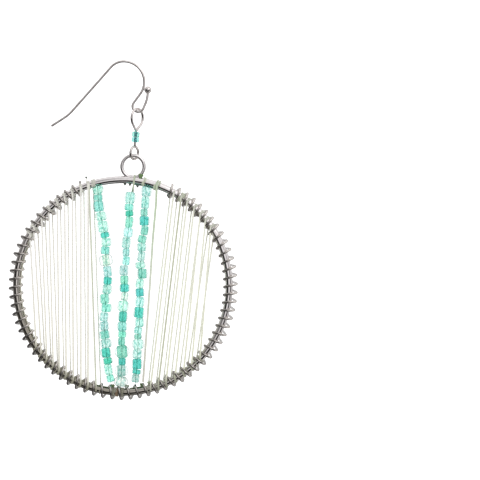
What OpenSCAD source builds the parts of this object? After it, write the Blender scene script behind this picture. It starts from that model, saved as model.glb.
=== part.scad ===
// Dangle earring: a French hook, a beaded wire link and a large thread hoop.
// The hoop is round wire with an open spring wound round it and three bead strings inside.
// Millimetres. +Z is up, +X is to the right and -Y is the front of the hoop.
// The origin is on the wire's centre line at the top of the hook's arch, where it hangs in the ear.

/* [Ear hook] */
// Diameter of the hook wire
hook_wire_d = 0.6; // [0.5:0.05:0.8]
// Radius of the arch on the side of the tail
arch_back_r = 4.1; // [3:0.1:5]
// Angle of the arch on the side of the tail
arch_back_angle = 53.4; // [40:0.1:65]
// Radius of the arch on the front side
arch_front_r = 4.9; // [4:0.1:6]
// Angle of the arch on the front side
arch_front_angle = 121.2; // [110:0.1:130]
// Straight length of the tail between the arch and its kink
tail_length = 14; // [10:0.5:20]
// Radius of the kink in the tail
tail_kink_r = 9.3; // [5:0.1:15]
// Angle of the kink in the tail
tail_kink_angle = 15.7; // [5:0.1:30]
// Straight length of the tail's end
tail_end_length = 3.6; // [2:0.1:6]
// Straight length of the front leg above the bottom bend
front_leg_length = 2.7; // [2:0.1:5]
// Centre line radius of the bottom bend that carries the link
bottom_bend_r = 1.35; // [1.3:0.05:1.8]
// Angle from the lowest point of the bottom bend up to its outer end
bottom_bend_rise = 72; // [50:1:90]
// Straight length of the short leg under the ball
short_leg_length = 1.3; // [0.5:0.1:3]
// Radius of the short leg's last curve
short_leg_r = 7; // [4:0.5:12]
// Angle of the short leg's last curve
short_leg_angle = 21; // [5:1:30]
// Diameter of the ball at the hook's end
ball_d = 1.75; // [1.2:0.05:2.5]

/* [Link] */
// Diameter of the link wire
link_wire_d = 0.6; // [0.5:0.05:0.7]
// Centre line radius of the teardrop loop
teardrop_r = 2.2; // [1.9:0.1:3]
// Half angle between the two sides of the teardrop loop
teardrop_angle = 45; // [38:1:50]
// Radius of the bend between the shank and the teardrop loop
teardrop_foot_r = 0.5; // [0.4:0.05:0.8]
// Centre line radius of the eye at the bottom
eye_r = 1.5; // [1.4:0.05:2]
// Radius of the bend between the shank and the eye
eye_neck_r = 0.45; // [0.4:0.05:0.6]
// Bare length of the shank between the beads and the bend of the eye
bare_shank_length = 0.6; // [0.3:0.1:2]
// Angle of the link's plane to the hoop's plane, which lets both loops interlock
link_turn = 56; // [55:1:65]
// Gap between interlocked wires as they hang
hang_gap = 0.12; // [0.1:0.01:0.15]

/* [Link beads] */
// Outer diameter of a link bead
link_bead_d = 1.85; // [1.5:0.05:2.2]
// Length of a link bead
link_bead_length = 1.2; // [1:0.05:1.6]
// Diameter of the hole through a link bead
link_bead_hole_d = 0.8; // [0.75:0.05:1]
// Radius of the rounded rim of a link bead
link_bead_round = 0.3; // [0.1:0.05:0.35]
// Gap between a link bead and its neighbour
link_bead_gap = 0.06; // [0.04:0.01:0.1]

/* [Hoop] */
// Centre line radius of the hoop
hoop_r = 25.5; // [20:0.5:35]
// Diameter of the hoop wire
hoop_wire_d = 1.78; // [1.4:0.02:2]
// Centre line radius of the ring on top of the hoop
ring_r = 2.66; // [2.5:0.02:3]
// Diameter of the ring wire
ring_wire_d = 0.9; // [0.7:0.05:1]
// How far the ring's centre line sinks below the hoop's outer surface where they are soldered
solder_depth = 0.28; // [0.2:0.01:0.4]
// Diameter of the solder bead under the ring
solder_d = 0.8; // [0.7:0.05:1]
// Angle that the solder bead covers on the hoop
solder_angle = 7; // [4:1:10]

/* [Spring coil] */
// Number of turns of the spring
coil_turns = 69; // [50:1:75]
// Diameter of the spring wire
coil_wire_d = 0.45; // [0.35:0.05:0.5]
// Outer diameter of the spring
coil_d = 3.8; // [3.6:0.05:4.2]
// How far the spring's centre line lies outside the hoop's centre line
coil_offset = 0.3; // [0.1:0.05:0.35]
// Angle from the ring to the spring's end on the right
coil_start_angle = 23; // [18:0.5:30]
// Angle from the ring to the spring's end on the left
coil_end_angle = 26.7; // [18:0.1:30]
// Share of each turn's pitch that its front half takes
coil_front_share = 0.42; // [0.3:0.01:0.6]

/* [Bead strings] */
// Diameter of a bead string
string_d = 2.2; // [1.8:0.1:2.3]
// Gap between the end of a string and the metal that it meets
string_gap = 0.3; // [0.2:0.05:0.5]
// Bare thread between the hoop and the top of the middle string
middle_bare_thread = 1.7; // [0:0.1:5]

/* [Hidden] */

// Sides of round wires, of bends and seed beads, of the ball and of whole rings
wire_fn = 32;
bend_fn = 96;
ball_fn = 48;
ring_fn = 128;
steel = [0.74, 0.72, 0.70];
dark_steel = [0.48, 0.45, 0.43];
teal_glass = [0.35, 0.85, 0.75];

// Bends are this much thicker than the straights, which reach this far into them
bend_extra_d = 0.012;
joint_reach = 0.03;
// Straight length between two bends that follow each other
joint_length = 0.05;

// A bent wire is a list of rows [straight length, bend radius, turn], where a turn to the left is
// positive. It lies in the XZ plane and starts at the origin, heading along +X.
// The hook runs from the tip of its tail over the arch and round the bottom bend to its ball.
hook_bends = [
    [tail_end_length, tail_kink_r, tail_kink_angle],
    [tail_length, arch_back_r, -arch_back_angle],
    [joint_length, arch_front_r, -arch_front_angle],
    [front_leg_length, bottom_bend_r, arch_front_angle + bottom_bend_rise],
    [short_leg_length, short_leg_r, short_leg_angle]
];
// The same wire from the top of the arch down to the lowest point of its bottom bend
arch_bends = [
    [joint_length, arch_front_r, -arch_front_angle],
    [front_leg_length, bottom_bend_r, arch_front_angle]
];

// Place and heading [x, z, heading] of a bent wire after one row
function bend_end(start, row) =
    let (
        heading = start[2],
        side = sign(row[2]),
        new_heading = heading + row[2]
    )
    [
        start[0] + row[0] * cos(heading) + side * row[1] * (sin(new_heading) - sin(heading)),
        start[1] + row[0] * sin(heading) - side * row[1] * (cos(new_heading) - cos(heading)),
        new_heading
    ];

// Place and heading of a bent wire after all its rows
function wire_end(rows, start = [0, 0, 0], i = 0) =
    i == len(rows) ? start : wire_end(rows, bend_end(start, rows[i]), i + 1);

// Top of the arch seen from the tail's tip, where the wire runs level
tail_heading = arch_back_angle - tail_kink_angle;
arch_top = wire_end([hook_bends[0], hook_bends[1]], [0, 0, tail_heading]);

// Lowest point of the hook's bottom bend, where the link hangs
hook_low = wire_end(arch_bends);
drop_x = hook_low[0];
hook_low_z = hook_low[1];

// Heights of the link, from its top to its eye
link_top_z = hook_low_z + (hook_wire_d + link_wire_d) / 2 + hang_gap;
teardrop_centre_z = link_top_z - teardrop_r;
teardrop_side = (teardrop_r * cos(teardrop_angle) - teardrop_foot_r * (1 - cos(teardrop_angle)))
    / sin(teardrop_angle);
shank_top_z = teardrop_centre_z - (teardrop_r + teardrop_foot_r) * sin(teardrop_angle)
    - teardrop_side * cos(teardrop_angle);
bead_stack_length = 2 * link_bead_length + 3 * link_bead_gap;
shank_length = bead_stack_length + bare_shank_length;
shank_low_z = shank_top_z - shank_length;

// Angle left open where the eye's cut end stops beside the shank
eye_slit_angle = 19;
// Angle from the eye's top to where its wire bends up into the shank
eye_neck_angle = asin(eye_neck_r / (eye_r + eye_neck_r));
// The link runs from the cut end round the eye, up the shank and round the teardrop loop
link_bends = [
    [0, eye_r, 360 - eye_neck_angle - eye_slit_angle],
    [joint_length, eye_neck_r, eye_neck_angle - 90],
    [shank_length, teardrop_foot_r, teardrop_angle],
    [teardrop_side, teardrop_r, -180 - 2 * teardrop_angle]
];
// Foot of the shank seen from the eye's cut end, and the eye's lowest point
link_heading = 180 + eye_slit_angle;
shank_foot = wire_end([link_bends[0], link_bends[1]], [0, 0, link_heading]);
eye_low_z = shank_low_z - shank_foot[1] - eye_r * (1 + cos(eye_slit_angle));
// The teardrop's last side stops this far before the shank's axis, inside the bend above the shank
teardrop_cut_gap = 0.15;
teardrop_close_length = teardrop_r / tan(teardrop_angle) - teardrop_cut_gap;

// Heights of the ring and the hoop
ring_top_z = eye_low_z + (link_wire_d + ring_wire_d) / 2 + hang_gap;
ring_centre_z = ring_top_z - ring_r;
hoop_centre_z = ring_centre_z - ring_r - hoop_wire_d / 2 + solder_depth - hoop_r;
// How far the solder bead's middle lies under the hoop's outer surface
solder_sink = 0.1;

// Spring: angles run clockwise from the ring, as seen from the front
coil_r = (coil_d - coil_wire_d) / 2;
coil_mid_r = hoop_r + coil_offset;
coil_pitch = (360 - coil_start_angle - coil_end_angle) / coil_turns;
coil_steps = 12;
coil_sides = 5;

// Bead strings: [place across at top, at bottom, bow, sway, bare thread at top], where places across
// are measured from the hoop's centre and the bow and sway bend the string to the right
left_string = [-7.6, -0.9, 0.4, 0.9, 0];
middle_string = [0.1, 1.6, -0.45, -0.15, middle_bare_thread];
right_string = [3.8, 5.2, -0.1, 0, 0];
string_steps = 14;
string_sides = 8;
// Radius inside which a string keeps clear of the hoop wire, and of the spring at the bottom
string_top_r = hoop_r - hoop_wire_d / 2 - string_gap;
string_bottom_r = coil_mid_r - coil_d / 2 - string_gap;

// Bent wire of exact cylinders and part tori, with children() at its end
module bent_wire(rows, wire_d, i = 0) {
    if (i < len(rows)) {
        length = rows[i][0];
        radius = rows[i][1];
        turn = rows[i][2];
        side = sign(turn);
        start_reach = i == 0 ? 0 : joint_reach;
        if (i > 0 || length > 0)
            translate([-start_reach, 0, 0])
                rotate([0, 90, 0])
                    cylinder(h = start_reach + length + joint_reach, d = wire_d, $fn = wire_fn);
        translate([length, 0, side * radius])
            rotate([90, 0, 0])
                rotate([0, 0, turn > 0 ? -90 : 90 + turn])
                    rotate_extrude(angle = abs(turn), $fn = bend_fn)
                        translate([radius, 0])
                            circle(d = wire_d + bend_extra_d, $fn = wire_fn);
        translate([length + radius * sin(abs(turn)), 0, side * radius * (1 - cos(turn))])
            rotate([0, -turn, 0])
                bent_wire(rows, wire_d, i + 1)
                    children();
    } else {
        children();
    }
}

// Full ring of round wire in the XZ plane
module wire_ring(ring_radius, wire_d) {
    rotate([90, 0, 0])
        rotate_extrude($fn = ring_fn)
            translate([ring_radius, 0])
                circle(d = wire_d, $fn = wire_fn);
}

module ear_hook() {
    tip_chamfer = hook_wire_d / 4;
    ball_overlap = hook_wire_d / 4;
    color(steel)
        translate([-arch_top[0], 0, -arch_top[1]])
            rotate([0, -tail_heading, 0]) {
                bent_wire(hook_bends, hook_wire_d)
                    translate([ball_d / 2 - ball_overlap, 0, 0])
                        sphere(d = ball_d, $fn = ball_fn);
                // Chamfered tip of the tail
                translate([-tip_chamfer, 0, 0])
                    rotate([0, 90, 0])
                        cylinder(
                            h = tip_chamfer + joint_reach,
                            d1 = hook_wire_d - 2 * tip_chamfer,
                            d2 = hook_wire_d - bend_extra_d,
                            $fn = wire_fn
                        );
            }
}

// The link's own plane: X across the link, on the line that the drop hangs on
module in_link_plane() {
    translate([drop_x, 0, 0])
        rotate([0, 0, link_turn])
            children();
}

module wire_link() {
    color(steel)
        in_link_plane()
            translate([-shank_foot[0], 0, shank_low_z - shank_foot[1]])
                rotate([0, -link_heading, 0])
                    bent_wire(link_bends, link_wire_d)
                        translate([-joint_reach, 0, 0])
                            rotate([0, 90, 0])
                                cylinder(
                                    h = joint_reach + teardrop_close_length, d = link_wire_d, $fn = wire_fn
                                );
}

// Round seed bead on the link's shank, with its top at a given height
module link_bead(top_z) {
    color(teal_glass)
        translate([drop_x, 0, top_z - link_bead_length])
            rotate_extrude($fn = bend_fn)
                difference() {
                    union() {
                        translate([link_bead_hole_d / 2, link_bead_round])
                            square([
                                (link_bead_d - link_bead_hole_d) / 2,
                                link_bead_length - 2 * link_bead_round
                            ]);
                        translate([link_bead_hole_d / 2, 0])
                            square([
                                (link_bead_d - link_bead_hole_d) / 2 - link_bead_round,
                                link_bead_length
                            ]);
                        for (z = [link_bead_round, link_bead_length - link_bead_round])
                            translate([link_bead_d / 2 - link_bead_round, z])
                                circle(r = link_bead_round, $fn = wire_fn);
                    }
                    translate([0, -link_bead_length / 2])
                        square([link_bead_hole_d / 2, 2 * link_bead_length]);
                }
}

module link_bead_upper() {
    link_bead(shank_top_z - link_bead_gap);
}

module link_bead_lower() {
    link_bead(shank_top_z - 2 * link_bead_gap - link_bead_length);
}

module hoop() {
    color(steel)
        translate([drop_x, 0, hoop_centre_z]) {
            wire_ring(hoop_r, hoop_wire_d);
            translate([0, 0, ring_centre_z - hoop_centre_z])
                wire_ring(ring_r, ring_wire_d);
            // Solder bead that fills the corners under the ring
            rotate([90, 0, 0])
                rotate([0, 0, 90 - solder_angle / 2])
                    rotate_extrude(angle = solder_angle, $fn = bend_fn)
                        translate([hoop_r + hoop_wire_d / 2 - solder_sink, 0])
                            circle(d = solder_d, $fn = wire_fn);
        }
}

// Tube round a list of frames [centre, first side direction, second side direction], where the cross
// product of the two side directions points back along the tube
module tube(frames, radius, sides) {
    last = len(frames) - 1;
    points = [
        for (f = frames, k = [0:sides - 1])
            f[0] + radius * (cos(360 * k / sides) * f[1] + sin(360 * k / sides) * f[2])
    ];
    walls = [
        for (i = [0:last - 1], k = [0:sides - 1])
            let (a = i * sides + k, b = i * sides + (k + 1) % sides)
            each [[a, a + sides, b], [b, a + sides, b + sides]]
    ];
    start_cap = [[for (k = [0:sides - 1]) k]];
    end_cap = [[for (k = [0:sides - 1]) last * sides + sides - 1 - k]];
    polyhedron(points = points, faces = concat(walls, start_cap, end_cap));
}

function unit(v) = v / norm(v);

// Centre line of the spring after a number of steps: each turn starts on the outside of the hoop,
// passes in front of it to the inside, and returns behind it
function coil_point(step) =
    let (
        turn = floor(step / coil_steps),
        part = step / coil_steps - turn,
        share = part < 0.5
            ? 2 * part * coil_front_share
            : coil_front_share + (2 * part - 1) * (1 - coil_front_share),
        around = 360 * part,
        along = coil_start_angle + coil_pitch * (turn + share),
        out = [sin(along), 0, cos(along)]
    )
    [drop_x, 0, hoop_centre_z] + (coil_mid_r + coil_r * cos(around)) * out
        + [0, -coil_r * sin(around), 0];

// Direction that the spring's wire never runs along, to set its frames by
coil_reference = [0, 1, 0.2];

// Frame of the spring's wire, square to its centre line
function coil_frame(step) =
    let (
        ahead = unit(coil_point(step + 1) - coil_point(step - 1)),
        side = unit(cross(ahead, coil_reference))
    )
    [coil_point(step), side, cross(side, ahead)];

module spring_coil() {
    color(dark_steel)
        tube([for (i = [0:coil_turns * coil_steps]) coil_frame(i)], coil_wire_d / 2, coil_sides);
}

// Height above the hoop's centre where a string's rim reaches a radius
function rim_height(radius, across) = sqrt(pow(radius, 2) - pow(abs(across) + string_d / 2, 2));

// Centre line of a bead string, where t runs from 0 at its top to 1 at its bottom
function string_point(row, t) =
    let (
        top = rim_height(string_top_r, row[0]) - row[4],
        bottom = -rim_height(string_bottom_r, row[1])
    )
    [
        drop_x + row[0] + (row[1] - row[0]) * t + row[2] * sin(180 * t) + row[3] * sin(360 * t),
        0,
        hoop_centre_z + top + (bottom - top) * t
    ];

module bead_string(row) {
    color(teal_glass)
        tube(
            [for (i = [0:string_steps]) [string_point(row, i / string_steps), [1, 0, 0], [0, 1, 0]]],
            string_d / 2,
            string_sides
        );
}

module bead_string_left() {
    bead_string(left_string);
}

module bead_string_middle() {
    bead_string(middle_string);
}

module bead_string_right() {
    bead_string(right_string);
}

ear_hook();
wire_link();
link_bead_upper();
link_bead_lower();
hoop();
spring_coil();
bead_string_left();
bead_string_middle();
bead_string_right();
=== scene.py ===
import math
import random

import bpy
from mathutils import Matrix, Vector


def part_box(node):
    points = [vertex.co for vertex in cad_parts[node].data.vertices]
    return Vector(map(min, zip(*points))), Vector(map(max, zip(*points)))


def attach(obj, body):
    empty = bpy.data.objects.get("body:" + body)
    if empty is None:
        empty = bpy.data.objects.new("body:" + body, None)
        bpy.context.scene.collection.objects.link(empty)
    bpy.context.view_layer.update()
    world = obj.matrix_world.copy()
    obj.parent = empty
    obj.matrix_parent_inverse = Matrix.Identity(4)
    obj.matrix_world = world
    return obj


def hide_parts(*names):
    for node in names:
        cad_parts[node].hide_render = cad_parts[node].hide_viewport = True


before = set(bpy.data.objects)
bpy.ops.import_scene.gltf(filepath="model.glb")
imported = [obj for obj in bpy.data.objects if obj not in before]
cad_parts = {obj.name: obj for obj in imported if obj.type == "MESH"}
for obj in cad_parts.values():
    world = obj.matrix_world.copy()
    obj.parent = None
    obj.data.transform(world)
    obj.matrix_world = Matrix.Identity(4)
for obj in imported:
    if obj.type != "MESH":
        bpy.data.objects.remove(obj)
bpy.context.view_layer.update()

# Dangle earring. Sizes are in millimetres here, and the meshes are written in metres.
MM = 0.001
SEED = 7
random.seed(SEED)

# The hoop, in the sizes of its solid
HOOP_R = 25.5
HOOP_WIRE_R = 0.89
# The spring, charted in the photo: turns from its right end, angle clockwise from the hoop's top, and how
# far its middle lies outside the hoop's wire
COIL_CHART = [
    (0, 21.2, 0.03), (7, 52.4, 0.15), (11, 70.8, 0.33), (22, 119.4, 0.33), (25, 133.2, 0.10),
    (29, 152.3, -0.15), (34, 175.7, 0.15), (38, 194.9, -0.05), (44, 223.3, -0.05), (49, 245.9, 0.13),
    (57, 281.8, 0.15), (62, 305.1, -0.19), (66, 323.7, -0.30), (68, 332.9, -0.01),
]
COIL_TURNS = COIL_CHART[-1][0]
COIL_WIRE_R = 0.30
COIL_R = 1.52
# Share of the way to the next turn that the spring makes in front of the hoop
COIL_FRONT_SHARE = 0.38
COIL_STEPS = 32
COIL_SIDES = 9
# Colour and share of metal of the spring's front halves, and of the sides of its rear halves that look to
# the front, which are painted pale as painted light, washed out by the white behind them, most on the right
SPRING_FRONT = (0.80, 0.75, 0.71, 1.0)
SPRING_REAR_PAINTED_LIGHT = (0.925, 0.92, 0.91, 0.02)
SPRING_REAR_LIGHT_SWING = 0.08
# How much of the front tone the spring has at its outer and inner ends, how much more of it the inner ends
# have, as painted shade, at the angle where they are darkest, and how fast it fades round the ends
OUTER_TIP_SHARE = 0.8
INNER_TIP_SHARE = 0.35
INNER_TIP_SWING = 0.4
INNER_SHADE_ANGLE = 85.0
TIP_FADE = 5.0
# How fast the wire's sides turn to steel towards the back, and from which share of the way
BACK_FADE = 3.0
BACK_FROM = 0.5
# Painted light and shade of the front halves: over the hoop's wire and how much darker it is at the lower
# left, at their outer ends, which are lightest towards the right, and at their inner ends, darkest there
SPRING_LIGHT = 0.70
SPRING_LOW_ANGLE = 220.0
SPRING_LOW_SHADE = 0.28
SPRING_LIGHT_ANGLE = 70.0
SPRING_LIGHT_SWING = 0.38
SPRING_INNER_LIGHT = 0.70
SPRING_INNER_SWING = 0.38
hoop_low, hoop_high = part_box("hoop")
HOOP_X = (hoop_low.x + hoop_high.x) / 2 / MM
HOOP_Z = hoop_low.z / MM + HOOP_R + HOOP_WIRE_R

# The photo's frame: size in pixels, millimetres a pixel, hoop centre, and how far the earring leans
PHOTO_SIZE = 480
MM_PER_PIXEL = 0.24
PHOTO_HOOP = (122.8, 285.91)
LEAN = math.radians(4.9)
# The camera: distance and sensor width in millimetres, and what it sees in metres
CAMERA_DISTANCE = 500.0
SENSOR_WIDTH = 36.0
CLIP_START = 0.01
CLIP_END = 20.0


def from_photo(px, py):
    """Place [across, up] from the hoop's centre, in millimetres, of a pixel of the photo."""
    across = (px - PHOTO_HOOP[0]) * MM_PER_PIXEL
    up = (PHOTO_HOOP[1] - py) * MM_PER_PIXEL
    return (
        across * math.cos(LEAN) - up * math.sin(LEAN),
        across * math.sin(LEAN) + up * math.cos(LEAN),
    )


def photo_point(px, py, depth=0.0):
    """Point in the part's frame of a pixel of the photo, at a depth behind the hoop's plane."""
    across, up = from_photo(px, py)
    return Vector((HOOP_X + across, depth, HOOP_Z + up))


def hoop_angle(px, py):
    """Angle of a pixel round the hoop, clockwise from its top, in degrees."""
    across, up = from_photo(px, py)
    return math.degrees(math.atan2(across, up))


def hoop_point(angle, radius, depth=0.0):
    """Point at an angle clockwise from the hoop's top and at a distance from its centre."""
    a = math.radians(angle)
    return Vector((HOOP_X + radius * math.sin(a), depth, HOOP_Z + radius * math.cos(a)))


# Camera
def make_camera():
    middle = PHOTO_SIZE / 2
    target = photo_point(middle, middle)
    width = PHOTO_SIZE * MM_PER_PIXEL
    data = bpy.data.cameras.new("camera")
    data.sensor_width = SENSOR_WIDTH
    data.lens = SENSOR_WIDTH * CAMERA_DISTANCE / width
    data.clip_start = CLIP_START
    data.clip_end = CLIP_END
    camera = bpy.data.objects.new("camera", data)
    bpy.context.scene.collection.objects.link(camera)
    right = Vector((math.cos(LEAN), 0, math.sin(LEAN)))
    up = Vector((-math.sin(LEAN), 0, math.cos(LEAN)))
    back = Vector((0, -1, 0))
    turn = Matrix((right, up, back)).transposed().to_4x4()
    camera.matrix_world = Matrix.Translation((target + back * CAMERA_DISTANCE) * MM) @ turn
    bpy.context.scene.camera = camera


# Looks. Noises are in lumps a millimetre, and their detail says how finely they are broken up. Shades and
# roughness are (place, value) stops along a noise or a direction, and bumps are a depth in millimetres and a
# strength.
NOISE_DETAIL = 3.0
METAL_PATCHES = 1.1
METAL_PATCH_STOPS = (0.35, 0.62)
METAL_GRAIN = 6.0
METAL_GRAIN_STOPS = (0.3, 0.7)
METAL_BUMP = (0.002, 0.3)
SPRING_PATCHES = 1.4
SPRING_SHADE = [(0.35, 0.90), (0.62, 1.0)]
SPRING_ROUGHNESS = [(0.3, 0.20), (0.7, 0.08)]
SPRING_BUMP = (0.004, 0.3)
GLASS_ROUGHNESS = 0.04
GLASS_IOR = 1.5
GLASS_WAVES = 1.6
GLASS_DETAIL = 1.0
GLASS_SHADE = [(0.3, 0.85), (0.7, 1.0)]
# How much a clear rim shows, from where it faces the eye to its edge
GLASS_EDGE = 0.35
GLASS_COVER = [(0.10, 0.08), (0.45, 0.34), (0.80, 0.60), (1.0, 1.0)]
GLASS_BUMP = (0.12, 0.35)
LINING_ROUGHNESS = 0.08
LINING_IOR = 1.12
LINING_CLEARNESS = 0.9
LINING_MOTTLE = (3.0, 3.0, 1.6)
LINING_DETAIL = 4.0
# The lining's streaks, from dark teal to white: partly its own mottle, partly painted highlights and dark
# lines of light bent through the glass
LINING_SHADE = [(0.37, (0.18, 0.50, 0.46)), (0.47, (0.74, 0.92, 0.90)), (0.56, (1.0, 1.0, 1.0))]
LINING_BUMP = (0.05, 0.5)
THREAD_ROUGHNESS = 0.75
THREAD_SHEEN = 0.3
THREAD_PLIES = 5.0
THREAD_DETAIL = 2.0
THREAD_SHADE = [(0.35, 0.85), (0.65, 1.0)]
THREAD_BUMP = (0.04, 0.5)


def new_material(name):
    material = bpy.data.materials.new(name)
    material.use_nodes = True
    nodes, links = material.node_tree.nodes, material.node_tree.links
    return material, nodes, links, nodes["Principled BSDF"]


def add_node(nodes, kind, **values):
    """New node with some of its inputs and properties set."""
    node = nodes.new(kind)
    for key, value in values.items():
        if key in node.inputs:
            node.inputs[key].default_value = value
        else:
            setattr(node, key, value)
    return node


def add_noise(nodes, links, scale, detail=NOISE_DETAIL):
    """Noise in the object's own space; scale is in lumps a millimetre."""
    place = nodes.new("ShaderNodeTexCoord")
    noise = add_node(nodes, "ShaderNodeTexNoise", Scale=scale / MM, Detail=detail)
    links.new(place.outputs["Object"], noise.inputs["Vector"])
    return noise


def add_ramp(nodes, links, source, stops):
    """Colour ramp from a list of (place, grey or colour) stops."""
    ramp = nodes.new("ShaderNodeValToRGB")
    links.new(source, ramp.inputs["Fac"])
    elements = ramp.color_ramp.elements
    while len(elements) < len(stops):
        elements.new(0.5)
    for element, (place, colour) in zip(elements, stops):
        element.position = place
        grey = isinstance(colour, float)
        element.color = (colour, colour, colour, 1) if grey else (*colour, 1)
    return ramp


def add_bump(nodes, links, shader, source, size):
    """Bump of a size: depth in millimetres, and strength."""
    depth, strength = size
    bump = add_node(nodes, "ShaderNodeBump", Strength=strength, Distance=depth * MM)
    links.new(source, bump.inputs["Height"])
    links.new(bump.outputs["Normal"], shader.inputs["Normal"])


def make_metal(name, colours, roughness, painted_shade):
    """Polished wire with fine drawing marks, in dark and light patches, with painted shade that darkens it
    towards one side.

    The painted shade is a direction through the part's own box, and stops of its shade.
    """
    material, nodes, links, shader = new_material(name)
    shader.inputs["Metallic"].default_value = 1.0
    patches = add_noise(nodes, links, METAL_PATCHES)
    colour = add_ramp(nodes, links, patches.outputs["Fac"], list(zip(METAL_PATCH_STOPS, colours)))
    # Painted shade: the base colour is darkened along a direction through the part's own box
    direction, stops = painted_shade
    place = nodes.new("ShaderNodeTexCoord")
    along = add_node(nodes, "ShaderNodeVectorMath", operation="DOT_PRODUCT")
    along.inputs[1].default_value = direction
    links.new(place.outputs["Generated"], along.inputs[0])
    shade = add_ramp(nodes, links, along.outputs["Value"], stops)
    mix_tones(nodes, links, shader, colour, shade)
    grain = add_noise(nodes, links, METAL_GRAIN)
    rough = add_ramp(nodes, links, grain.outputs["Fac"], list(zip(METAL_GRAIN_STOPS, roughness)))
    links.new(rough.outputs["Color"], shader.inputs["Roughness"])
    add_bump(nodes, links, shader, grain.outputs["Fac"], METAL_BUMP)
    return material


def make_spring_metal(name):
    """Fine wire of the spring: its tone, with painted light and shade, and its share of metal are painted on
    the mesh, with dull spots.
    """
    material, nodes, links, shader = new_material(name)
    tone = add_node(nodes, "ShaderNodeAttribute", attribute_name="tone")
    links.new(tone.outputs["Alpha"], shader.inputs["Metallic"])
    links.new(tone.outputs["Alpha"], shader.inputs["Specular IOR Level"])
    patches = add_noise(nodes, links, SPRING_PATCHES)
    shade = add_ramp(nodes, links, patches.outputs["Fac"], SPRING_SHADE)
    mix_tones(nodes, links, shader, tone, shade)
    rough = add_ramp(nodes, links, patches.outputs["Fac"], SPRING_ROUGHNESS)
    links.new(rough.outputs["Color"], shader.inputs["Roughness"])
    add_bump(nodes, links, shader, patches.outputs["Fac"], SPRING_BUMP)
    return material


def mix_tones(nodes, links, shader, tone, shade):
    """Base colour from a tone, of a ramp or painted on the mesh, times a shade."""
    mix = add_node(nodes, "ShaderNodeMix", data_type="RGBA", blend_type="MULTIPLY")
    mix.inputs["Factor"].default_value = 1.0
    links.new(tone.outputs["Color"], mix.inputs["A"])
    links.new(shade.outputs["Color"], mix.inputs["B"])
    links.new(mix.outputs["Result"], shader.inputs["Base Color"])


def make_glass(name):
    """Clear shell of a seed bead, nearly unseen, with a faint outline and gloss.

    Its tint, and how much it shows, are painted on the mesh.
    """
    material, nodes, links, shader = new_material(name)
    shader.inputs["Roughness"].default_value = GLASS_ROUGHNESS
    shader.inputs["IOR"].default_value = GLASS_IOR
    tone = add_node(nodes, "ShaderNodeAttribute", attribute_name="tone")
    waves = add_noise(nodes, links, GLASS_WAVES, GLASS_DETAIL)
    shade = add_ramp(nodes, links, waves.outputs["Fac"], GLASS_SHADE)
    mix_tones(nodes, links, shader, tone, shade)
    edge = add_node(nodes, "ShaderNodeLayerWeight", Blend=GLASS_EDGE)
    cover = add_ramp(nodes, links, edge.outputs["Facing"], GLASS_COVER)
    show = add_node(nodes, "ShaderNodeMath", operation="MULTIPLY")
    links.new(cover.outputs["Color"], show.inputs[0])
    links.new(tone.outputs["Alpha"], show.inputs[1])
    links.new(show.outputs["Value"], shader.inputs["Alpha"])
    add_bump(nodes, links, shader, waves.outputs["Fac"], GLASS_BUMP)
    return material


def make_lining(name):
    """Coloured core of a bead, which light shines through: its tone is painted on the mesh, with streaks
    that are partly its own mottle and partly painted highlights and dark lines of light bent through the
    glass.
    """
    material, nodes, links, shader = new_material(name)
    shader.inputs["Roughness"].default_value = LINING_ROUGHNESS
    shader.inputs["IOR"].default_value = LINING_IOR
    shader.inputs["Transmission Weight"].default_value = LINING_CLEARNESS
    tone = add_node(nodes, "ShaderNodeAttribute", attribute_name="tone")
    place = nodes.new("ShaderNodeTexCoord")
    stretch = add_node(nodes, "ShaderNodeMapping", Scale=LINING_MOTTLE)
    mottle = add_node(nodes, "ShaderNodeTexNoise", Scale=1 / MM, Detail=LINING_DETAIL)
    links.new(place.outputs["Object"], stretch.inputs["Vector"])
    links.new(stretch.outputs["Vector"], mottle.inputs["Vector"])
    shade = add_ramp(nodes, links, mottle.outputs["Fac"], LINING_SHADE)
    mix_tones(nodes, links, shader, tone, shade)
    add_bump(nodes, links, shader, mottle.outputs["Fac"], LINING_BUMP)
    return material


def make_thread(name):
    """Twisted sewing thread: its tone is painted on the mesh, with plies as spots and fuzz as sheen."""
    material, nodes, links, shader = new_material(name)
    shader.inputs["Roughness"].default_value = THREAD_ROUGHNESS
    shader.inputs["Sheen Weight"].default_value = THREAD_SHEEN
    tone = add_node(nodes, "ShaderNodeAttribute", attribute_name="tone")
    plies = add_noise(nodes, links, THREAD_PLIES, THREAD_DETAIL)
    shade = add_ramp(nodes, links, plies.outputs["Fac"], THREAD_SHADE)
    mix_tones(nodes, links, shader, tone, shade)
    add_bump(nodes, links, shader, plies.outputs["Fac"], THREAD_BUMP)
    return material


# The steel of the hook and link, even, with no painted shade, and of the hoop, with painted shade that
# darkens it towards its lower left
HOOK_COLOURS = [(0.64, 0.59, 0.57), (0.84, 0.79, 0.78)]
HOOK_ROUGHNESS = (0.03, 0.06)
HOOK_PAINTED_SHADE = ((0.0, 0.0, 1.0), [(0.0, 1.0), (1.0, 1.0)])
HOOP_COLOURS = [(0.76, 0.72, 0.72), (0.86, 0.82, 0.82)]
HOOP_ROUGHNESS = (0.02, 0.05)
HOOP_PAINTED_SHADE = (
    (0.35, 0.0, 0.65),
    [
        (0.05, (0.46, 0.45, 0.39)), (0.18, (0.40, 0.39, 0.33)), (0.30, (0.74, 0.73, 0.69)), (0.56, 0.93),
        (0.68, 1.0),
    ],
)
HOOK_METAL = make_metal("polished_steel", HOOK_COLOURS, HOOK_ROUGHNESS, HOOK_PAINTED_SHADE)
HOOP_METAL = make_metal("hoop_steel", HOOP_COLOURS, HOOP_ROUGHNESS, HOOP_PAINTED_SHADE)
SPRING_METAL = make_spring_metal("spring_steel")
BEAD_GLASS = make_glass("bead_glass")
BEAD_LINING = make_lining("bead_lining")
THREAD = make_thread("thread")


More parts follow.
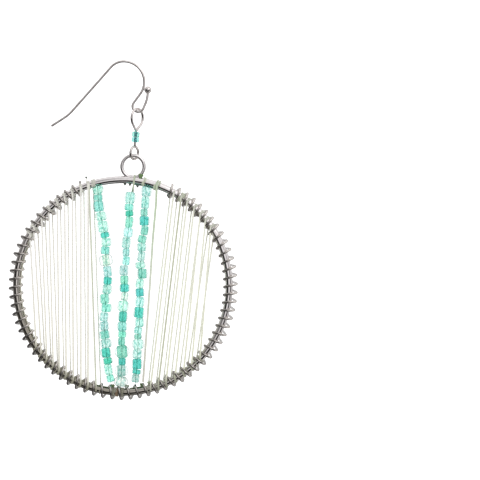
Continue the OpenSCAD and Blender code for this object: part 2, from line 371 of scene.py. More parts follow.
# Meshes
class Shape:
    """A joined mesh in the making: points in millimetres, faces, and a tone and material a face."""

    def __init__(self):
        self.points = []
        self.tones = []
        self.faces = []
        self.materials = []

    def add(self, points, faces, tone, material=0):
        first = len(self.points)
        self.points += [Vector(p) for p in points]
        self.tones += tone if isinstance(tone, list) else [tone] * len(points)
        self.faces += [[first + i for i in face] for face in faces]
        self.materials += [material] * len(faces)

    def piece(self, name, body, slot, materials):
        """Turns the shape into a piece that rides on a body."""
        mesh = bpy.data.meshes.new(name)
        mesh.from_pydata([p * MM for p in self.points], [], self.faces)
        for material in materials:
            mesh.materials.append(material)
        mesh.polygons.foreach_set("material_index", self.materials)
        mesh.polygons.foreach_set("use_smooth", [True] * len(self.faces))
        tones = mesh.color_attributes.new("tone", "FLOAT_COLOR", "POINT")
        tones.data.foreach_set("color", [c for tone in self.tones for c in (*tone, 1.0)[:4]])
        mesh.update()
        piece = bpy.data.objects.new(name, mesh)
        bpy.context.scene.collection.objects.link(piece)
        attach(piece, body)
        return piece


def add_tube(shape, path, radius, sides, tone, material=0):
    """Round tube along a path. Its tone is the same all over, one a point, or worked out for each side."""
    count = len(path)
    points = []
    side_tones = []
    side = None
    for i, centre in enumerate(path):
        ahead = (path[min(i + 1, count - 1)] - path[max(i - 1, 0)]).normalized()
        if side is None:
            side = ahead.orthogonal().normalized()
        side = (side - ahead * side.dot(ahead)).normalized()
        other = ahead.cross(side)
        for k in range(sides):
            a = 2 * math.pi * k / sides
            direction = math.cos(a) * side + math.sin(a) * other
            points.append(centre + radius * direction)
            if callable(tone):
                side_tones.append(tone(i, direction))
    faces = []
    for i in range(count - 1):
        for k in range(sides):
            a, b = i * sides + k, i * sides + (k + 1) % sides
            faces.append([a, b, b + sides, a + sides])
    faces.append(list(range(sides))[::-1])
    faces.append([(count - 1) * sides + k for k in range(sides)])
    if callable(tone):
        tone = side_tones
    elif isinstance(tone, list):
        tone = [t for t in tone for _ in range(sides)]
    shape.add(points, faces, tone, material)


def add_lathe(shape, profile, place, sides, tone, material=0):
    """Closed turned body: profile rows are (radius, height) from its bottom to its top pole."""
    rows = profile[1:-1]
    points = [place @ Vector((0, 0, profile[0][1]))]
    for r, h in rows:
        for k in range(sides):
            a = 2 * math.pi * k / sides
            points.append(place @ Vector((r * math.cos(a), r * math.sin(a), h)))
    points.append(place @ Vector((0, 0, profile[-1][1])))
    last = len(points) - 1
    faces = []
    for k in range(sides):
        n = (k + 1) % sides
        faces.append([0, 1 + n, 1 + k])
        faces.append([last, last - sides + k, last - sides + n])
        for i in range(len(rows) - 1):
            a, b = 1 + i * sides + k, 1 + i * sides + n
            faces.append([a, b, b + sides, a + sides])
    shape.add(points, faces, tone, material)


# Spring
def coil_place(turns):
    """Angle round the hoop and offset from its wire after some turns of the spring, from the chart."""
    for (n0, *start), (n1, *end) in zip(COIL_CHART, COIL_CHART[1:]):
        if turns <= n1:
            share = (turns - n0) / (n1 - n0)
            return [a + (b - a) * share for a, b in zip(start, end)]
    return COIL_CHART[-1][1:]


def coil_point(part):
    """Centre of the spring's wire after some turns: out, over the front, in, and back behind the hoop."""
    turn = math.floor(part)
    done = part - turn
    if done < 0.5:
        share = 2 * done * COIL_FRONT_SHARE
    else:
        share = COIL_FRONT_SHARE + (2 * done - 1) * (1 - COIL_FRONT_SHARE)
    around = 2 * math.pi * done
    angle, offset = coil_place(turn + share)
    return hoop_point(angle, HOOP_R + offset + COIL_R * math.cos(around), -COIL_R * math.sin(around))


def clamp(value):
    """The value, but not under 0 nor over 1."""
    return max(0.0, min(1.0, value))


def coil_tone(part, direction):
    """Tone, with painted light and shade, of the spring's wire after some turns, on the side that looks in a
    direction.
    """
    around = 2 * math.pi * part
    out = math.cos(around)
    angle = coil_place(part)[0]
    shaded = math.cos(math.radians(angle - INNER_SHADE_ANGLE))
    tip_share = OUTER_TIP_SHARE if out > 0 else INNER_TIP_SHARE + INNER_TIP_SWING * shaded
    front_share = clamp(tip_share + TIP_FADE * math.sin(around))
    back_share = clamp(BACK_FADE * (direction.y - BACK_FROM))
    share = max(front_share, back_share)
    # Painted light and shade of the front halves, by their angle round the hoop
    if out > 0:
        tip_light = SPRING_LIGHT + SPRING_LIGHT_SWING * math.cos(math.radians(angle - SPRING_LIGHT_ANGLE))
    else:
        tip_light = SPRING_INNER_LIGHT - SPRING_INNER_SWING * shaded
    middle_light = SPRING_LIGHT - SPRING_LOW_SHADE * clamp(math.cos(math.radians(angle - SPRING_LOW_ANGLE)))
    light = middle_light + (tip_light - middle_light) * abs(out)
    front = [c * light for c in SPRING_FRONT[:3]] + [SPRING_FRONT[3]]
    # Painted light on the front-facing sides of the rear halves, lightest on the right
    rear_light = 1 + SPRING_REAR_LIGHT_SWING * math.sin(math.radians(angle))
    rear = [c * rear_light for c in SPRING_REAR_PAINTED_LIGHT[:3]] + [SPRING_REAR_PAINTED_LIGHT[3]]
    return tuple(far + (near - far) * share for near, far in zip(front, rear))


def make_spring():
    """The open spring of fine wire round the hoop."""
    shape = Shape()
    parts = [i / COIL_STEPS for i in range(COIL_TURNS * COIL_STEPS + 1)]

    def tone(i, direction):
        return coil_tone(parts[i], direction)

    add_tube(shape, [coil_point(p) for p in parts], COIL_WIRE_R, COIL_SIDES, tone)
    piece = shape.piece("spring", "drop", "spring_steel", [SPRING_METAL])
    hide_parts("spring_coil")


# Seed beads: colour of the light through their cores
TONES = {
    "clear": (0.86, 0.90, 0.84),
    "pale": (0.64, 0.86, 0.81),
    "mid": (0.37, 0.75, 0.64),
    "deep": (0.14, 0.63, 0.54),
    "blue": (0.50, 0.83, 0.78),
    "sky": (0.47, 0.82, 0.80),
    "green": (0.11, 0.61, 0.45),
    "grey": (0.43, 0.61, 0.54),
}
# Forms of bead: how square its rim is, and how much wider it is at its top
FORMS = {"barrel": (3.6, 0.0), "round": (2.2, 0.0), "cup": (3.2, 0.16), "block": (9.0, 0.0)}
# Beads from the top of each string, charted in the photo: pixel row of the bead's lower end, pixel
# columns of its lining's left and right sides, its tone, and the width of its clear rim and its form where
# they are odd. The top is the pixel row where the first bead starts.
LEFT_TOP = 186.0
LEFT_BEADS = [
    (194.4, 93.6, 102.2, "pale", 11.6, "cup"), (200.7, 94.3, 102.0, "mid"), (211.7, 94.6, 103.0, "mid"),
    (220.9, 97.0, 105.4, "pale"), (232.4, 98.7, 107.2, "pale"), (237.7, 101.0, 108.8, "deep"),
    (246.3, 102.5, 110.2, "pale"), (254.5, 101.5, 109.0, "mid"), (266.0, 102.6, 109.4, "clear", 13.8),
    (276.9, 104.0, 111.0, "pale"), (284.4, 104.0, 111.4, "deep"), (293.9, 103.2, 110.7, "pale"),
    (303.6, 100.8, 108.5, "mid"), (312.2, 102.0, 110.4, "mid"), (321.3, 100.6, 107.5, "pale"),
    (330.5, 100.8, 107.8, "pale"), (339.1, 100.8, 108.8, "mid"), (347.8, 101.8, 110.2, "pale"),
    (357.6, 102.0, 110.0, "deep"), (364.1, 103.9, 111.6, "green"), (374.7, 104.9, 111.6, "pale"),
    (382.0, 107.3, 113.6, "mid"),
]
MIDDLE_TOP = 192.0
MIDDLE_BEADS = [
    (203.6, 126.0, 134.2, "pale"), (210.8, 125.3, 132.8, "mid"), (216.5, 125.8, 132.8, "green"),
    (227.6, 126.0, 132.5, "mid"), (237.2, 124.4, 132.0, "pale"), (248.3, 122.7, 129.7, "pale"),
    (256.2, 123.2, 129.0, "blue"), (265.1, 123.2, 129.2, "blue"), (275.4, 120.3, 127.3, "pale"),
    (284.0, 120.8, 127.7, "mid"), (292.0, 120.5, 128.5, "deep"), (300.7, 121.7, 127.5, "clear"),
    (311.3, 118.9, 127.3, "pale"), (321.8, 119.3, 126.5, "deep"), (331.0, 118.4, 126.0, "mid"),
    (337.7, 118.8, 125.6, "mid"), (345.4, 118.6, 124.6, "mid"), (357.9, 117.2, 127.0, "mid", 15.5, "round"),
    (365.1, 118.8, 125.3, "deep"), (376.2, 117.4, 125.3, "grey", 13.0),
    (386.7, 116.4, 125.6, "clear", 15.0, "round"),
]
RIGHT_TOP = 186.3
RIGHT_BEADS = [
    (196.8, 142.4, 150.3, "pale"), (208.8, 141.9, 148.6, "pale"), (216.0, 141.0, 147.2, "mid"),
    (225.7, 140.2, 148.4, "deep"), (235.3, 141.4, 147.7, "mid"), (243.0, 138.6, 145.8, "mid"),
    (251.4, 138.0, 145.3, "pale"), (261.7, 138.3, 144.4, "pale"), (268.5, 136.4, 144.4, "pale"),
    (278.6, 138.4, 146.2, "mid"), (288.2, 136.6, 143.0, "pale"), (296.6, 136.2, 143.4, "deep"),
    (306.9, 136.4, 143.4, "pale"), (318.0, 134.8, 143.1, "deep"), (327.1, 136.0, 143.0, "pale"),
    (334.0, 134.7, 141.4, "pale"), (339.1, 134.7, 141.0, "mid"), (349.2, 133.8, 142.4, "pale"),
    (358.6, 133.5, 141.0, "pale"), (369.4, 133.0, 141.0, "deep"), (374.2, 132.8, 140.2, "deep"),
    (382.6, 132.4, 138.6, "grey"),
]
# A clear rim is this many times as wide as its lining
BEAD_RIM = 1.42
# Tint of the clear rims and how much they show, for most beads and for the clear ones
RIM_TINT = (0.46, 0.84, 0.78, 0.95)
CLEAR_TINT = (0.34, 0.54, 0.50, 1.0)
# A lining looks this much wider, in pixels, than its charted columns
LINING_EDGE = 0.6
BEAD_GAP = 0.02
BEAD_SIDES = 20
BEAD_ROWS = 11
# The lining's form: how square its ends are, share of the bead's length, and sides
LINING_SQUARENESS = 12.0
LINING_SHARE = 0.99
LINING_SIDES = 16
# How far beads lie out of line, across in millimetres and as a lean, and how their light and colours vary
BEAD_SWAY = 0.12
BEAD_LEAN = 0.08
BEAD_LIGHT = (0.96, 1.16)
BEAD_TINT = (0.94, 1.06)
# The link's beads: width of their linings, and the dark bore round the wire
LINK_LINING = 0.94
BORE_R = 0.33
BORE_SHARE = 0.9
BORE_SIDES = 12
BORE_TONE = (0.22, 0.36, 0.44)
STRING_R = 0.08
STRING_TONE = (0.44, 0.70, 0.61)
# Pixels inside the hoop's wire where each string's thread starts above its beads and ends below them
LEFT_THREAD = (96.8, 180.6), (111.6, 387.5)
MIDDLE_THREAD = (134.0, 181.5), (120.4, 389.5)
RIGHT_THREAD = (144.4, 183.0), (136.2, 390.0)


def bead_profile(length, radius, squareness, taper):
    """Barrel with rounded ends, as (radius, height) rows between its poles, wider at its top by a taper."""
    profile = []
    for i in range(BEAD_ROWS + 2):
        a = math.pi * (i / (BEAD_ROWS + 1) - 0.5)
        height = math.copysign(abs(math.sin(a)) ** (2 / squareness), a)
        width = radius * (1 + taper * height)
        profile.append((width * abs(math.cos(a)) ** (2 / squareness), height * length / 2))
    return profile


def add_bead(shape, centre, axis, length, rim, lining, tone, form="barrel"):
    """Clear bead with a coloured lining, a little askew on its string."""
    askew = Vector((random.uniform(-BEAD_LEAN, BEAD_LEAN), random.uniform(-BEAD_LEAN, BEAD_LEAN), 0))
    turn = (axis + askew).to_track_quat("Z", "Y").to_matrix().to_4x4()
    place = Matrix.Translation(centre) @ turn @ Matrix.Rotation(random.uniform(0, 2 * math.pi), 4, "Z")
    tint = CLEAR_TINT if tone == TONES["clear"] else RIM_TINT
    light = random.uniform(*BEAD_LIGHT)
    tone = tuple(min(1.0, c * light * random.uniform(*BEAD_TINT)) for c in tone)
    squareness, taper = FORMS[form]
    add_lathe(shape, bead_profile(length, rim, squareness, taper), place, BEAD_SIDES, tint)
    core = bead_profile(length * LINING_SHARE, lining, LINING_SQUARENESS, taper)
    add_lathe(shape, core, place, LINING_SIDES, tone, 1)


def make_beads(name, node, top, rows, thread):
    """String of charted beads with its thread, in the place of its plain solid."""
    shape = Shape()
    centres = []
    uppers = [top] + [row[0] for row in rows]
    for upper, (lower, left, right, *_) in zip(uppers, rows):
        sway = random.uniform(-BEAD_SWAY, BEAD_SWAY)
        centres.append(photo_point((left + right) / 2, (upper + lower) / 2, sway))
    for i, (upper, (lower, left, right, tone, *rim)) in enumerate(zip(uppers, rows)):
        axis = (centres[max(i - 1, 0)] - centres[min(i + 1, len(centres) - 1)]).normalized()
        length = (lower - upper) * MM_PER_PIXEL - BEAD_GAP
        lining = (right - left + LINING_EDGE) * MM_PER_PIXEL / 2
        rim_r = (rim[0] if rim else (right - left) * BEAD_RIM) * MM_PER_PIXEL / 2
        form = rim[1] if len(rim) > 1 else "barrel"
        add_bead(shape, centres[i], axis, length, rim_r, lining, TONES[tone], form)
    above, below = thread
    path = [photo_point(*above)] + centres + [photo_point(*below)]
    add_tube(shape, path, STRING_R, THREAD_SIDES, STRING_TONE, 2)
    piece = shape.piece(name, "drop", "bead_glass", [BEAD_GLASS, BEAD_LINING, THREAD])
    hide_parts(node)


def make_link_bead(node, tone):
    """Bead on the link's shank, in the place of its plain solid."""
    low, high = (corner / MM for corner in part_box(node))
    shape = Shape()
    radius = (high.x - low.x) / 2
    up = Vector((0, 0, 1))
    middle = (low + high) / 2
    length = high.z - low.z
    add_bead(shape, middle, up, length, radius, radius * LINK_LINING, TONES[tone], "block")
    bore = [middle - up * length * BORE_SHARE / 2, middle + up * length * BORE_SHARE / 2]
    add_tube(shape, bore, BORE_R, BORE_SIDES, BORE_TONE, 1)
    piece = shape.piece(node + "_glass", "link", "link_bead_glass", [BEAD_GLASS, BEAD_LINING])
    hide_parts(node)


# Thread: its tones, radii and steps
SAGE = (0.52, 0.58, 0.42)
PALE_SAGE = (0.58, 0.62, 0.48)
CREAM = (0.66, 0.65, 0.58)
KHAKI = (0.78, 0.765, 0.65)
TAN = (0.30, 0.29, 0.22)
MOSS = (0.16, 0.24, 0.10)
LEAF = (0.16, 0.27, 0.10)
SOOT = (0.12, 0.14, 0.12)
POND = (0.12, 0.24, 0.19)
RUST = (0.24, 0.16, 0.09)
FRONT_THREAD_R = 0.24
BACK_THREAD_R = 0.20
WRAP_THREAD_R = 0.12
THREAD_SIDES = 6
# Angles round the hoop's wire, in degrees from its outer side: its front, its back, and the inner side where
# thread runs along it
WIRE_FRONT = 90
WIRE_BACK = -90
WIRE_INNER = 165
INNER_RUN_STEPS = 30
# A strand bends over the wire by this share of its angle, and takes its own tone this far from the hoop
STRAND_TUCK = 0.7
STRAND_END = 1.3
# Wraps: steps a turn, space between turns in radii of the thread, and the cosine under which they lie inside
WRAP_STEPS = 12
WRAP_PITCH = 2.1
WRAP_INSIDE = -0.1
# Turns of the wraps under the back strands' lower ends, and under the front strands' upper and lower ends
BACK_TURNS = 1
UPPER_TURNS = 3
LOWER_TURNS = 2
# Strands from the middle outwards: pixel columns where each crosses the hoop at its top and bottom, and its
# tone where that is odd
LEFT_FRONT = [
    (89.4, 96.4, (0.68, 0.70, 0.57)), (88.5, 88.3), (81.2, 81.2), (72.7, 73.7), (65.0, 66.6), (57.5, 59.7),
    (49.4, 53.7), (42.0, 47.3), (34.3, 41.7), (30.4, 36.7),
]
LEFT_BACK = [
    (93.0, 100.5), (83.5, 85.6), (75.2, 77.3), (67.5, 70.2), (60.0, 63.4), (51.8, 57.3), (44.6, 50.8),
    (37.0, 44.5),
]
RIGHT_FRONT = [
    (173.9, 150.6), (181.2, 158.4, (0.59, 0.61, 0.46)), (187.2, 166.0), (194.2, 175.0), (200.4, 183.5),
    (205.6, 191.4), (210.9, 200.0),
]
RIGHT_BACK = [
    (170.6, 147.8), (177.4, 155.8), (184.4, 163.0), (192.0, 170.5), (200.5, 179.0), (208.8, 187.0),
    (214.0, 196.0),
]
# Tones of a winding's front strands at their tops and bottoms, of its back strands, and of its wraps, also
# of the upper ones on the hoop's inner side where that is odd. The lower wraps, and the inner sides of the
# upper ones, are the same thread painted darker as painted shade.
LEFT_TONES = {
    "top": (0.90, 0.88, 0.83), "bottom": (0.83, 0.81, 0.70), "back": (0.965, 0.95, 0.88),
    "top_wrap": (0.80, 0.79, 0.72), "shaded_bottom_wrap": (0.35, 0.34, 0.25),
}
RIGHT_TONES = {
    "top": (0.87, 0.875, 0.755), "bottom": (0.83, 0.84, 0.675), "back": (0.945, 0.955, 0.85),
    "top_wrap": (0.73, 0.745, 0.645), "shaded_bottom_wrap": (0.42, 0.43, 0.33),
    "shaded_top_inside": (0.16, 0.14, 0.11),
}
# The thick strand to the right of the beads: pixels down its length
THICK_STRAND = [(157.0, 182.2), (156.4, 201.7), (153.0, 239.7), (150.4, 280.5), (143.3, 381.7)]
THICK_STRAND_TONES = [
    (0.56, 0.66, 0.48), (0.57, 0.67, 0.48), (0.62, 0.70, 0.54), (0.70, 0.74, 0.62), (0.80, 0.78, 0.68),
]
THICK_STRAND_R = 0.27
THICK_STRAND_SIDES = 8
# The thread's loose end, with a knot at its tip: pixels from the tip to the hoop, depth and radius
LOOSE_END = [(86.5, 178.0), (87.2, 182.0), (88.0, 187.0), (89.6, 192.7)]
LOOSE_END_DEPTH = -1.05
LOOSE_END_R = 0.10
# Knots: pixel, depth in front of the hoop's plane, size, thread radius and tone
KNOTS = [
    (141.0, 176.0, 0.5, 0.50, 0.17, LEAF), (86.5, 177.6, 1.0, 0.22, 0.10, SOOT),
    (112.6, 386.0, 0.2, 0.45, 0.16, MOSS), (127.2, 386.5, 0.2, 0.40, 0.15, MOSS),
    (141.8, 384.8, 0.2, 0.42, 0.15, MOSS), (148.8, 382.8, 0.2, 0.34, 0.13, SAGE),
    (168.8, 195.8, 0.4, 0.42, 0.16, SOOT), (125.0, 184.2, 0.2, 0.26, 0.10, SOOT),
    (130.0, 184.4, 0.2, 0.30, 0.11, SOOT), (137.6, 185.8, 0.2, 0.32, 0.12, SOOT),
    (155.2, 188.4, 0.3, 0.34, 0.10, MOSS),
]
KNOT_STEPS = 30
# Thread that runs along the hoop's inner side, from one pixel to the other: thread radius and tone
INNER_RUNS = [
    ((24.5, 236.0), (30.0, 338.0), 0.17, KHAKI), ((108.5, 386.5), (97.0, 384.5), 0.12, MOSS),
    ((141.6, 385.0), (130.0, 387.3), 0.10, MOSS), ((134.0, 185.0), (158.0, 189.5), 0.14, POND),
]
# Wide wraps on the hoop: pixel on the wire, turns, thread radius and tone
WRAPS = [
    (93.0, 181.4, 4, 0.12, CREAM), (144.2, 181.5, 2, 0.16, PALE_SAGE), (157.2, 184.9, 2, 0.25, SAGE),
    (182.0, 196.0, 3, 0.18, PALE_SAGE), (113.5, 391.0, 3, 0.15, TAN), (117.3, 391.6, 2, 0.15, RUST),
    (121.5, 391.8, 4, 0.14, TAN),
]
# Thread over the hoop's front to the middle string: pixels and depths in front of the hoop's plane
OVER_THREAD = [
    (134.9, 175.4, 0.3), (134.7, 177.6, 1.0), (134.2, 181.0, 1.2), (133.6, 186.0, 0.9), (132.9, 192.0, 0.1),
]
OVER_THREAD_R = 0.22


def edge_angle(px, upper):
    """Angle round the hoop of the point where a pixel column crosses it."""
    radius = HOOP_R / MM_PER_PIXEL
    across = max(-radius, min(radius, px - PHOTO_HOOP[0]))
    up = math.sqrt(radius**2 - across**2)
    return hoop_angle(px, PHOTO_HOOP[1] - up if upper else PHOTO_HOOP[1] + up)


def wire_point(angle, around, lift):
    """Point on the hoop wire's skin: around runs from 0 outside over 90 in front to 180 inside."""
    a = math.radians(around)
    lay = HOOP_WIRE_R + lift
    return hoop_point(angle, HOOP_R + lay * math.cos(a), -lay * math.sin(a))


def add_wraps(shape, angle, turns, thread_r, tone, inner_shade_tone=None):
    """Turns of thread side by side round the hoop wire, from its front to its front.

    They may have another tone on the hoop's inner side, a painted shade.
    """
    steps = turns * WRAP_STEPS
    width = math.degrees(WRAP_PITCH * thread_r * turns / HOOP_R)
    path = []
    tones = []
    for i in range(steps + 1):
        around = WIRE_FRONT + 360 * i / WRAP_STEPS
        path.append(wire_point(angle + width * (i / steps - 0.5), around, thread_r))
        inside = math.cos(math.radians(around)) < WRAP_INSIDE
        tones.append(inner_shade_tone if inner_shade_tone and inside else tone)
    add_tube(shape, path, thread_r, THREAD_SIDES, tones)


def add_knot(shape, centre, size, thread_r, tone):
    """Small overhand knot: a trefoil."""
    path = []
    for i in range(KNOT_STEPS + 1):
        t = 2 * math.pi * i / KNOT_STEPS
        x, y, z = math.sin(t) + 2 * math.sin(2 * t), -math.sin(3 * t), math.cos(t) - 2 * math.cos(2 * t)
        path.append(centre + Vector((x, y, z)) * size / 3)
    add_tube(shape, path, thread_r, THREAD_SIDES, tone)


def add_strand(shape, top, bottom, around, thread_r, tones):
    """Straight strand between the hoop's top and bottom, on the front or back of its wire.

    Its four tones are for its end over the hoop at the top, its own top and bottom, and its end over the
    hoop at the bottom.
    """
    upper, lower = edge_angle(top, True), edge_angle(bottom, False)
    first, last = wire_point(upper, around, thread_r), wire_point(lower, around, thread_r)
    along = (last - first).normalized()
    path = [wire_point(upper, around * STRAND_TUCK, thread_r), first]
    path += [first + along * STRAND_END, last - along * STRAND_END]
    path += [last, wire_point(lower, around * STRAND_TUCK, thread_r)]
    top_end, top_tone, bottom_tone, bottom_end = tones
    path_tones = [top_end, top_end, top_tone, bottom_tone, bottom_end, bottom_end]
    add_tube(shape, path, thread_r, THREAD_SIDES, path_tones)


def make_winding(name, front, back, tones):
    """Thread wound up and down the hoop: strong strands in front, pale ones behind, wraps at their ends."""
    shape = Shape()
    for top, bottom in back:
        add_strand(shape, top, bottom, WIRE_BACK, BACK_THREAD_R, [tones["back"]] * 4)
        add_wraps(shape, edge_angle(bottom, False), BACK_TURNS, WRAP_THREAD_R, tones["shaded_bottom_wrap"])
    for top, bottom, *odd in front:
        upper, lower = odd * 2 or (tones["top"], tones["bottom"])
        strand_tones = [tones["top_wrap"], upper, lower, tones["shaded_bottom_wrap"]]
        add_strand(shape, top, bottom, WIRE_FRONT, FRONT_THREAD_R, strand_tones)
    shaded_top_inside = tones.get("shaded_top_inside")
    for top, bottom, *_ in front[1:]:
        add_wraps(shape, edge_angle(top, True), UPPER_TURNS, WRAP_THREAD_R, tones["top_wrap"], shaded_top_inside)
        add_wraps(shape, edge_angle(bottom, False), LOWER_TURNS, WRAP_THREAD_R, tones["shaded_bottom_wrap"])
    shape.piece(name, "drop", "thread", [THREAD])


def make_thick_strand():
    """The thick strand to the right of the beads."""
    shape = Shape()
    lay = HOOP_WIRE_R + THICK_STRAND_R
    path = [photo_point(*pixel, -lay) for pixel in THICK_STRAND]
    add_tube(shape, path, THICK_STRAND_R, THICK_STRAND_SIDES, THICK_STRAND_TONES)
    shape.piece("thick_strand", "drop", "thread", [THREAD])


def make_thread_details():
    """Knots, the loose end, the wide wraps and the thread along the hoop's inner side."""
    shape = Shape()
    for px, py, depth, size, thread_r, tone in KNOTS:
        add_knot(shape, photo_point(px, py, -depth), size, thread_r, tone)
    for px, py, turns, thread_r, tone in WRAPS:
        add_wraps(shape, hoop_angle(px, py), turns, thread_r, tone)
    for first, last, thread_r, tone in INNER_RUNS:
        start, end = hoop_angle(*first) % 360, hoop_angle(*last) % 360
        angles = [start + (end - start) * i / INNER_RUN_STEPS for i in range(INNER_RUN_STEPS + 1)]
        path = [wire_point(angle, WIRE_INNER, thread_r) for angle in angles]
        add_tube(shape, path, thread_r, THREAD_SIDES, tone)
    loose_end = [photo_point(*pixel, LOOSE_END_DEPTH) for pixel in LOOSE_END]
    add_tube(shape, loose_end, LOOSE_END_R, THREAD_SIDES, CREAM)
    over = [photo_point(px, py, -depth) for px, py, depth in OVER_THREAD]
    add_tube(shape, over, OVER_THREAD_R, THREAD_SIDES, SAGE)
    shape.piece("knots", "drop", "thread", [THREAD])


# Stage and light, in metres: the floor's height, the radii of its middle and of its flat part, the radius of
# its bend up into the wall, and the wall's top
FLOOR_Z = -0.150
FLOOR_INNER_R = 0.10
FLOOR_R = 0.80
FLOOR_BEND = 0.30
FLOOR_BEND_STEPS = 12
WALL_TOP = 1.20
FLOOR_SIDES = 96
FLOOR_COLOUR = (0.90, 0.90, 0.90, 1)
FLOOR_ROUGHNESS = 0.9
FLOOR_GLOW = 0.62
WHITE = (1, 1, 1, 1)
# Lamps: place, width in metres, and power in watts
LIGHT_TARGET = (0, 0, -0.05)
LAMPS = {"key": ((0.40, -0.50, 0.50), 0.5, 0.5), "fill": ((-0.55, -0.60, 0.25), 0.5, 0.2)}


def make_stage():
    """Plain pale floor that curves up all round into a plain pale wall, evenly lit as in a light tent."""
    profile = [(FLOOR_INNER_R, FLOOR_Z), (FLOOR_R, FLOOR_Z)]
    for i in range(1, FLOOR_BEND_STEPS + 1):
        a = math.radians(90 * i / FLOOR_BEND_STEPS)
        profile.append((FLOOR_R + FLOOR_BEND * math.sin(a), FLOOR_Z + FLOOR_BEND - FLOOR_BEND * math.cos(a)))
    profile.append((FLOOR_R + FLOOR_BEND, WALL_TOP))
    points = [(0.0, 0.0, FLOOR_Z)]
    for r, z in profile:
        for k in range(FLOOR_SIDES):
            a = 2 * math.pi * k / FLOOR_SIDES
            points.append((r * math.cos(a), r * math.sin(a), z))
    faces = [[0, 1 + k, 1 + (k + 1) % FLOOR_SIDES] for k in range(FLOOR_SIDES)]
    for i in range(len(profile) - 1):
        for k in range(FLOOR_SIDES):
            a, b = 1 + i * FLOOR_SIDES + k, 1 + i * FLOOR_SIDES + (k + 1) % FLOOR_SIDES
            faces.append([a, a + FLOOR_SIDES, b + FLOOR_SIDES, b])
    mesh = bpy.data.meshes.new("floor")
    mesh.from_pydata(points, [], faces)
    mesh.polygons.foreach_set("use_smooth", [True] * len(faces))
    material, nodes, links, shader = new_material("floor")
    shader.inputs["Base Color"].default_value = FLOOR_COLOUR
    shader.inputs["Roughness"].default_value = FLOOR_ROUGHNESS
    shader.inputs["Emission Color"].default_value = WHITE
    shader.inputs["Emission Strength"].default_value = FLOOR_GLOW
    mesh.materials.append(material)
    floor = bpy.data.objects.new("floor", mesh)
    bpy.context.scene.collection.objects.link(floor)
    floor.visible_glossy = False
    floor.visible_diffuse = False


def make_light(name, place, size, power):
    """Soft square lamp that looks at the part and isn't seen itself."""
    data = bpy.data.lights.new(name, "AREA")
    data.shape = "SQUARE"
    data.size = size
    data.energy = power
    light = bpy.data.objects.new(name, data)
    bpy.context.scene.collection.objects.link(light)
    light.location = place
    light.rotation_mode = "QUATERNION"
    light.rotation_quaternion = (Vector(LIGHT_TARGET) - Vector(place)).to_track_quat("-Z", "Y")
    light.visible_camera = False


# What the metal reflects, by the direction in the hoop's plane, in turns from the right over the top: the
# middle of each sector, and its greys from in front of the earring (0) to behind it (1)
SECTORS = [
    (0.000, [
        (0.0, 1.0), (0.045, 1.0), (0.07, 0.08), (0.24, 0.07), (0.34, 0.72), (0.80, 0.62), (0.92, 0.25),
        (1.0, 0.9),
    ]),
    (0.125, [(0.0, 0.95), (0.25, 1.1), (0.60, 1.1), (0.80, 0.8), (0.93, 0.4), (1.0, 0.9)]),
    (0.250, [(0.0, 0.95), (0.25, 1.0), (0.60, 1.05), (0.80, 1.0), (0.93, 0.4), (1.0, 0.9)]),
    (0.375, [
        (0.0, 0.95), (0.01, 0.9), (0.02, 0.02), (0.24, 0.02), (0.31, 1.0), (0.75, 1.0), (0.88, 0.4),
        (1.0, 0.9),
    ]),
    (0.500, [(0.0, 1.0), (0.01, 1.0), (0.02, 0.02), (0.30, 0.03), (0.48, 0.25), (0.75, 0.45), (1.0, 0.9)]),
    (0.625, [
        (0.0, 0.8), (0.01, 0.7), (0.02, 0.05), (0.25, 0.09), (0.45, 0.28), (0.75, 0.45), (0.90, 0.40),
        (1.0, 0.9),
    ]),
    (0.750, [
        (0.0, 0.95), (0.01, 0.9), (0.02, 0.03), (0.25, 0.03), (0.30, 0.5), (0.42, 0.5), (0.47, 0.02),
        (0.85, 0.02), (0.96, 0.4), (1.0, 0.9),
    ]),
    (0.875, [
        (0.0, 0.95), (0.004, 0.9), (0.01, 0.01), (0.30, 0.01), (0.36, 0.9), (0.85, 0.7), (0.95, 0.5),
        (1.0, 0.9),
    ]),
]
WORLD_STRENGTH = 1.0
TURNS_A_RADIAN = 0.5 / math.pi
HALF_TURN = 0.5


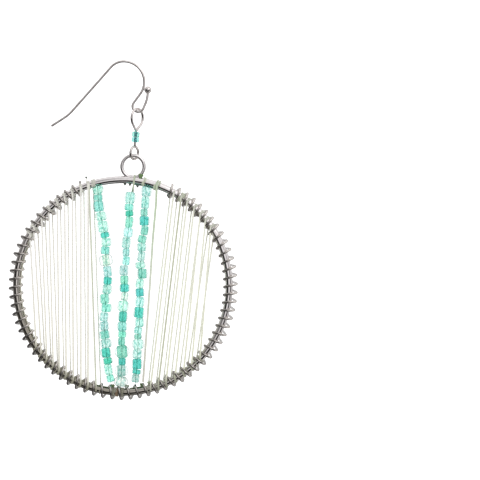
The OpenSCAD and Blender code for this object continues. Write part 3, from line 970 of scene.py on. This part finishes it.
def make_world():
    """White to the eye, through glass and on dull surfaces; pale panels with dark gaps in reflections."""
    world = bpy.data.worlds.new("studio")
    world.use_nodes = True
    nodes, links = world.node_tree.nodes, world.node_tree.links
    background = nodes["Background"]
    ray = nodes.new("ShaderNodeLightPath")
    place = nodes.new("ShaderNodeTexCoord")
    parts = nodes.new("ShaderNodeSeparateXYZ")
    links.new(place.outputs["Generated"], parts.inputs["Vector"])
    depth = add_node(nodes, "ShaderNodeMapRange")
    depth.inputs["From Min"].default_value = -1.0
    links.new(parts.outputs["Y"], depth.inputs["Value"])
    turn = add_node(nodes, "ShaderNodeMath", operation="ARCTAN2")
    links.new(parts.outputs["Z"], turn.inputs[0])
    links.new(parts.outputs["X"], turn.inputs[1])
    turns = add_node(nodes, "ShaderNodeMath", operation="MULTIPLY")
    turns.inputs[1].default_value = TURNS_A_RADIAN
    links.new(turn.outputs["Value"], turns.inputs[0])
    studio = None
    for middle, stops in SECTORS:
        greys = add_ramp(nodes, links, depth.outputs["Result"], stops)
        away = add_node(nodes, "ShaderNodeMath", operation="PINGPONG")
        away.inputs[1].default_value = HALF_TURN
        shifted = add_node(nodes, "ShaderNodeMath", operation="SUBTRACT")
        shifted.inputs[1].default_value = middle
        links.new(turns.outputs["Value"], shifted.inputs[0])
        links.new(shifted.outputs["Value"], away.inputs[0])
        share = add_node(nodes, "ShaderNodeMapRange")
        share.inputs["From Min"].default_value = 1 / len(SECTORS)
        share.inputs["From Max"].default_value = 0.0
        links.new(away.outputs["Value"], share.inputs["Value"])
        part = add_node(nodes, "ShaderNodeMath", operation="MULTIPLY")
        links.new(greys.outputs["Color"], part.inputs[0])
        links.new(share.outputs["Result"], part.inputs[1])
        if studio is None:
            studio = part
        else:
            total = add_node(nodes, "ShaderNodeMath", operation="ADD")
            links.new(studio.outputs["Value"], total.inputs[0])
            links.new(part.outputs["Value"], total.inputs[1])
            studio = total
    mix = add_node(nodes, "ShaderNodeMix", data_type="FLOAT")
    mix.inputs["A"].default_value = 1.0
    links.new(ray.outputs["Is Glossy Ray"], mix.inputs["Factor"])
    links.new(studio.outputs["Value"], mix.inputs["B"])
    links.new(mix.outputs["Result"], background.inputs["Color"])
    background.inputs["Strength"].default_value = WORLD_STRENGTH
    bpy.context.scene.world = world


# The scene
make_camera()
make_spring()
make_beads("beads_left", "bead_string_left", LEFT_TOP, LEFT_BEADS, LEFT_THREAD)
make_beads("beads_middle", "bead_string_middle", MIDDLE_TOP, MIDDLE_BEADS, MIDDLE_THREAD)
make_beads("beads_right", "bead_string_right", RIGHT_TOP, RIGHT_BEADS, RIGHT_THREAD)
make_link_bead("link_bead_upper", "sky")
make_link_bead("link_bead_lower", "sky")
make_winding("winding_left", LEFT_FRONT, LEFT_BACK, LEFT_TONES)
make_winding("winding_right", RIGHT_FRONT, RIGHT_BACK, RIGHT_TONES)
make_thick_strand()
make_thread_details()

for node, material in (("ear_hook", HOOK_METAL), ("wire_link", HOOK_METAL), ("hoop", HOOP_METAL)):
    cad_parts[node].material_slots[0].material = material

make_stage()
make_world()
for lamp, (lamp_place, lamp_size, lamp_power) in LAMPS.items():
    make_light(lamp, lamp_place, lamp_size, lamp_power)
bpy.context.scene.view_settings.view_transform = "Standard"
